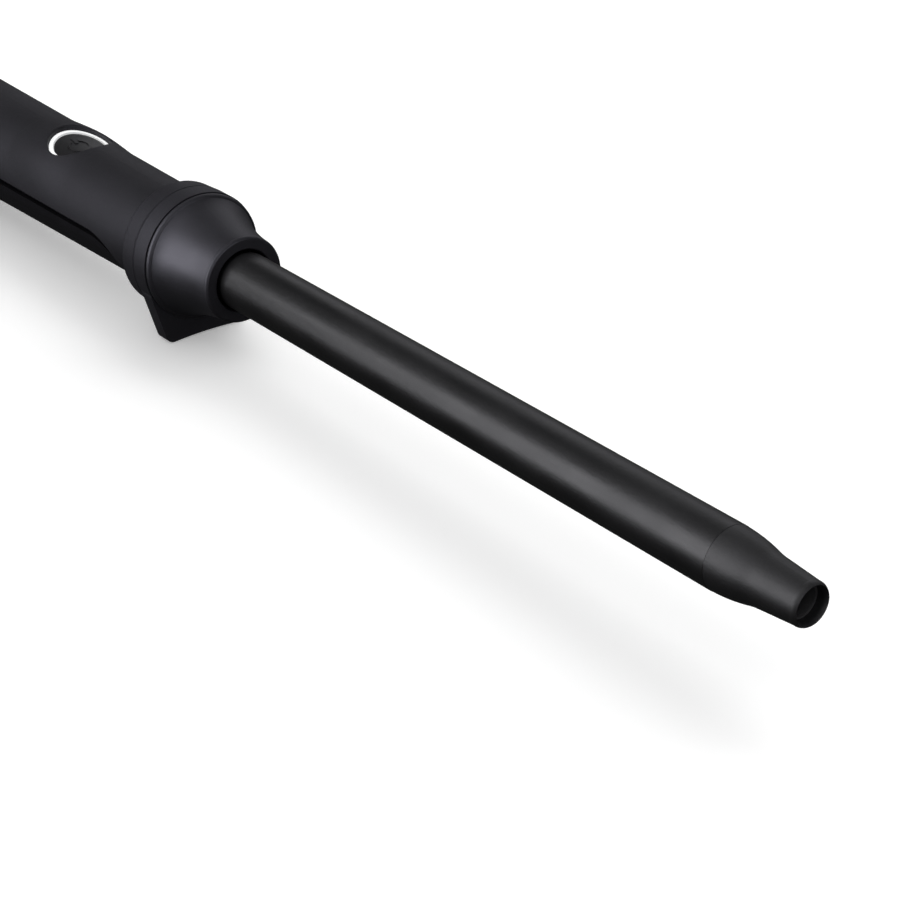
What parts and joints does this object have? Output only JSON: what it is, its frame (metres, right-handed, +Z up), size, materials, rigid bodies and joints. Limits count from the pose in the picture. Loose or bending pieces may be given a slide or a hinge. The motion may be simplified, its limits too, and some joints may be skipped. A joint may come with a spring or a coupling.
{
  "type": "curling wand",
  "caption": "Hair curling wand: slim straight heated barrel with a cool tip, flared nose cone, collar with a foot plate, and a round handle with a power button and a cord swivel.",
  "frame": {"origin": "centre of the bounding box in X and Y, on the table that the wand stands on", "axes": "+X runs along the wand towards its cool tip, +Y to its left, +Z up; the wand leans back 1.68 degrees, from its foot plate to the rear of its handle"},
  "size_m": [0.3796, 0.0315, 0.0358],
  "materials": {
    "soft_touch": "soft-touch matt black",
    "underside_plastic": "fine-grained satin black",
    "frame_plastic": "plain moulded black",
    "collar_plastic": "fine spark-eroded matt black",
    "nose_plastic": "satin black",
    "barrel_coating": "fine-grained black ceramic coating on aluminium",
    "heat_resistant_plastic": "matt black heat-resistant polymer",
    "light_guide": "frosted white light guide",
    "button_plastic": "satin black",
    "component_black": "moulded epoxy",
    "board_laminate": "green solder mask",
    "steel": "zinc-plated",
    "led_lens": "clear white lens",
    "capacitor_case": "moulded box",
    "mica": "rolled mica laminate",
    "alumina": "sintered white ceramic",
    "bare_aluminium": "extruded",
    "sensor_glass": "glass bead",
    "wire_insulation": "silicone insulation",
    "gland_plastic": "satin black",
    "copper": "plain copper alloy"
  },
  "bodies": {
    "wand": {"barrel_mount": "heat_resistant_plastic", "barrel_tube": "barrel_coating", "board_screws": "steel", "ceramic_heater": "alumina", "circuit_board": "board_laminate", "collar_ring": "collar_plastic", "contact_brushes": "copper", "cool_tip_cap": "heat_resistant_plastic", "filter_capacitor": "capacitor_case", "handle_shell": "soft_touch", "heat_spreader_lower": "bare_aluminium", "heat_spreader_upper": "bare_aluminium", "heater_leads": "wire_insulation", "heater_triac": "component_black", "inner_frame": "frame_plastic", "insulating_sleeve": "mica", "light_ring": "light_guide", "microcontroller": "component_black", "mount_screws": "steel", "nose_carrier": "heat_resistant_plastic", "nose_cone": "nose_plastic", "rear_cap": "soft_touch", "sounder": "component_black", "stand_ring": "collar_plastic", "status_leds": "led_lens", "swivel_housing": "frame_plastic", "tactile_switch": "component_black", "temperature_sensor": "sensor_glass", "thermal_fuse": "bare_aluminium", "tip_sleeve": "heat_resistant_plastic", "underside_cover": "underside_plastic"},
    "button": {"power_button": "button_plastic"},
    "swivel": {"swivel_gland": "gland_plastic", "retaining_clip": "steel", "contact_rings": "copper"}
  },
  "joints": [
    {"name": "power_press", "type": "slide", "parent": "wand", "child": "button", "axis": [0.0294, 0, -0.9996], "range_m": [0, 0.0005], "stiffness_N_per_m": 2500, "springref_m": -0.0004},
    {"name": "cord_swivel", "type": "hinge", "parent": "wand", "child": "swivel", "pos_m": [-0.17167, 0, 0.01533], "axis": [0.9996, 0, 0.0294], "continuous": true}
  ]
}
